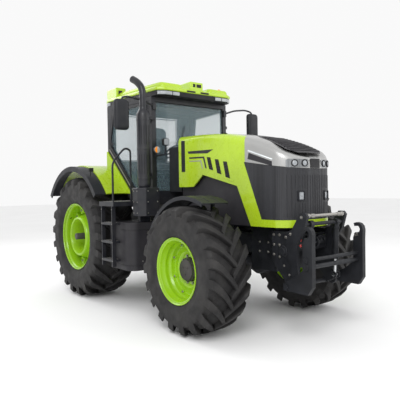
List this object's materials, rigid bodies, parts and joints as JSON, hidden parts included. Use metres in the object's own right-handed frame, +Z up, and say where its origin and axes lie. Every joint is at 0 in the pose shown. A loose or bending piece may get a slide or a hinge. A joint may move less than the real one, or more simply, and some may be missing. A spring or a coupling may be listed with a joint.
{
  "type": "farm tractor",
  "caption": "Four-wheel-drive farm tractor with a tilting hood, a glazed cab, steered front wheels, a front lift linkage and a rear lift linkage.",
  "frame": {"origin": "on the ground under the middle of the overall length and width", "axes": "+Z up, -Y the way the tractor drives, +X its left side"},
  "size_m": [2.81, 5.62, 3.49],
  "materials": {
    "tyre_rubber": "matt black rubber",
    "rim_paint": "gloss lime enamel",
    "black_iron": "satin black paint on cast iron and plate",
    "bright_steel": "ground and chromed rod",
    "lime_paint": "gloss lime body colour",
    "silver_paint": "metallic silver grey",
    "grille_mesh": "black mesh",
    "charcoal_panel": "charcoal grained plastic",
    "black_plastic": "black grained plastic",
    "cab_paint": "satin black paint",
    "tinted_glass": "tinted safety glass",
    "seat_fabric": "dark woven seat cloth"
  },
  "bodies": {
    "root": {"front_frame": "black_iron", "cooling_pack": "black_iron", "engine_block": "black_iron", "drivetrain_housing": "black_iron", "front_axle_beam": "black_iron", "side_panel_left": "charcoal_panel", "side_panel_right": "charcoal_panel", "cowl": "black_plastic", "cab_frame": "cab_paint", "cab_floor": "cab_paint", "roof": "lime_paint", "windshield": "tinted_glass", "seat_base": "black_iron", "seat_cushion": "seat_fabric", "seat_back": "seat_fabric", "dashboard": "black_plastic", "rear_fender_left": "lime_paint", "rear_fender_right": "lime_paint", "fender_flare_left": "black_plastic", "fender_flare_right": "black_plastic", "exhaust_stack": "cab_paint", "aftertreatment_box": "cab_paint", "mirror_left": "black_plastic", "mirror_right": "black_plastic", "toolbox_right": "charcoal_panel", "fuel_tank_left": "charcoal_panel", "steps_left": "cab_paint", "steps_right": "cab_paint", "front_hitch_frame": "black_iron"},
    "hood": {"hood_shell": "lime_paint", "hood_top_panel": "silver_paint", "front_grille": "grille_mesh"},
    "rear_window_panel": {"rear_window": "tinted_glass"},
    "steering_wheel_body": {"steering_wheel": "black_plastic"},
    "front_links": {"front_lower_links": "black_iron"},
    "rear_links": {"rear_lower_links": "black_iron"},
    "rear_arms": {"rear_lift_arms": "black_iron"},
    "knuckle_right_body": {"knuckle_right": "black_iron", "front_fender_right": "black_plastic"},
    "front_wheel_right": {"rim_front_right": "rim_paint", "tyre_front_right": "tyre_rubber"},
    "rear_wheel_right": {"rim_rear_right": "rim_paint", "tyre_rear_right": "tyre_rubber"},
    "door_right_body": {"door_right": "cab_paint", "door_glass_right": "tinted_glass"},
    "front_barrel_right": {"front_lift_barrel_right": "black_iron"},
    "front_rod_right": {"front_lift_rod_right": "bright_steel"},
    "rear_rod_right": {"rear_lift_rod_right": "bright_steel"},
    "knuckle_left_body": {"knuckle_left": "black_iron", "front_fender_left": "black_plastic"},
    "front_wheel_left": {"rim_front_left": "rim_paint", "tyre_front_left": "tyre_rubber"},
    "rear_wheel_left": {"rim_rear_left": "rim_paint", "tyre_rear_left": "tyre_rubber"},
    "door_left_body": {"door_left": "cab_paint", "door_glass_left": "tinted_glass"},
    "front_barrel_left": {"front_lift_barrel_left": "black_iron"},
    "front_rod_left": {"front_lift_rod_left": "bright_steel"},
    "rear_rod_left": {"rear_lift_rod_left": "bright_steel"}
  },
  "joints": [
    {"name": "steer_right", "type": "hinge", "parent": "root", "child": "knuckle_right_body", "pos_m": [-0.78, -1.39, 0.79], "axis": [0, 0, 1], "range_deg": [-30, 30]},
    {"name": "steer_left", "type": "hinge", "parent": "root", "child": "knuckle_left_body", "pos_m": [0.78, -1.39, 0.79], "axis": [0, 0, 1], "range_deg": [-30, 30]},
    {"name": "steering_wheel_turn", "type": "hinge", "parent": "root", "child": "steering_wheel_body", "pos_m": [0, 0.43, 2.42], "axis": [0, 0.5299, 0.848], "range_deg": [-300, 300]},
    {"name": "front_wheel_right_spin", "type": "hinge", "parent": "knuckle_right_body", "child": "front_wheel_right", "pos_m": [-1.04, -1.39, 0.79], "axis": [1, 0, 0], "continuous": true},
    {"name": "rear_wheel_right_spin", "type": "hinge", "parent": "root", "child": "rear_wheel_right", "pos_m": [-1.01, 1.61, 1.01], "axis": [1, 0, 0], "continuous": true},
    {"name": "front_wheel_left_spin", "type": "hinge", "parent": "knuckle_left_body", "child": "front_wheel_left", "pos_m": [1.04, -1.39, 0.79], "axis": [1, 0, 0], "continuous": true},
    {"name": "rear_wheel_left_spin", "type": "hinge", "parent": "root", "child": "rear_wheel_left", "pos_m": [1.01, 1.61, 1.01], "axis": [1, 0, 0], "continuous": true},
    {"name": "door_right_swing", "type": "hinge", "parent": "root", "child": "door_right_body", "pos_m": [-0.76253, 0.065, 1.72], "axis": [0, 0, 1], "range_deg": [0, 35]},
    {"name": "door_left_swing", "type": "hinge", "parent": "root", "child": "door_left_body", "pos_m": [0.76253, 0.065, 1.72], "axis": [0, 0, -1], "range_deg": [0, 70]},
    {"name": "hood_tilt", "type": "hinge", "parent": "root", "child": "hood", "pos_m": [0, -0.345, 2.505], "axis": [-1, 0, 0], "range_deg": [0, 55]},
    {"name": "rear_window_lift", "type": "hinge", "parent": "root", "child": "rear_window_panel", "pos_m": [0, 1.386, 3.134], "axis": [1, 0, 0], "range_deg": [0, 60]},
    {"name": "front_links_swing", "type": "hinge", "parent": "root", "child": "front_links", "pos_m": [0, -2.43, 0.64], "axis": [1, 0, 0], "range_deg": [0, 60]},
    {"name": "front_barrel_right_swing", "type": "hinge", "parent": "root", "child": "front_barrel_right", "pos_m": [-0.24, -2.58, 1.36], "axis": [1, 0, 0], "range_deg": [-1.2, 0]},
    {"name": "front_rod_right_slide", "type": "slide", "parent": "front_barrel_right", "child": "front_rod_right", "axis": [0, 0.0442, -0.999], "range_m": [0, 0.14]},
    {"name": "front_barrel_left_swing", "type": "hinge", "parent": "root", "child": "front_barrel_left", "pos_m": [0.24, -2.58, 1.36], "axis": [1, 0, 0], "range_deg": [-1.2, 0]},
    {"name": "front_rod_left_slide", "type": "slide", "parent": "front_barrel_left", "child": "front_rod_left", "axis": [0, 0.0442, -0.999], "range_m": [0, 0.14]},
    {"name": "rear_links_raise", "type": "hinge", "parent": "root", "child": "rear_links", "pos_m": [0, 1.76, 0.6], "axis": [1, 0, 0], "range_deg": [-10, 30]},
    {"name": "rear_arms_raise", "type": "hinge", "parent": "root", "child": "rear_arms", "pos_m": [0, 1.76, 1.5], "axis": [1, 0, 0], "range_deg": [-10, 30]},
    {"name": "rear_rod_right_swing", "type": "hinge", "parent": "rear_arms", "child": "rear_rod_right", "pos_m": [-0.37, 2.26, 1.5], "axis": [1, 0, 0], "range_deg": [-30, 10]},
    {"name": "rear_rod_left_swing", "type": "hinge", "parent": "rear_arms", "child": "rear_rod_left", "pos_m": [0.37, 2.26, 1.5], "axis": [1, 0, 0], "range_deg": [-30, 10]}
  ],
  "couplings": [
    {"joint": "steer_left", "follows": "steer_right", "ratio": 1},
    {"joint": "steering_wheel_turn", "follows": "steer_right", "ratio": 10},
    {"joint": "front_barrel_right_swing", "follows": "front_links_swing", "ratio": -0.02},
    {"joint": "front_rod_right_slide", "follows": "front_links_swing", "m_per_rad": 0.1336},
    {"joint": "front_barrel_left_swing", "follows": "front_links_swing", "ratio": -0.02},
    {"joint": "front_rod_left_slide", "follows": "front_links_swing", "m_per_rad": 0.1336},
    {"joint": "rear_arms_raise", "follows": "rear_links_raise", "ratio": 1},
    {"joint": "rear_rod_right_swing", "follows": "rear_links_raise", "ratio": -1},
    {"joint": "rear_rod_left_swing", "follows": "rear_links_raise", "ratio": -1}
  ]
}
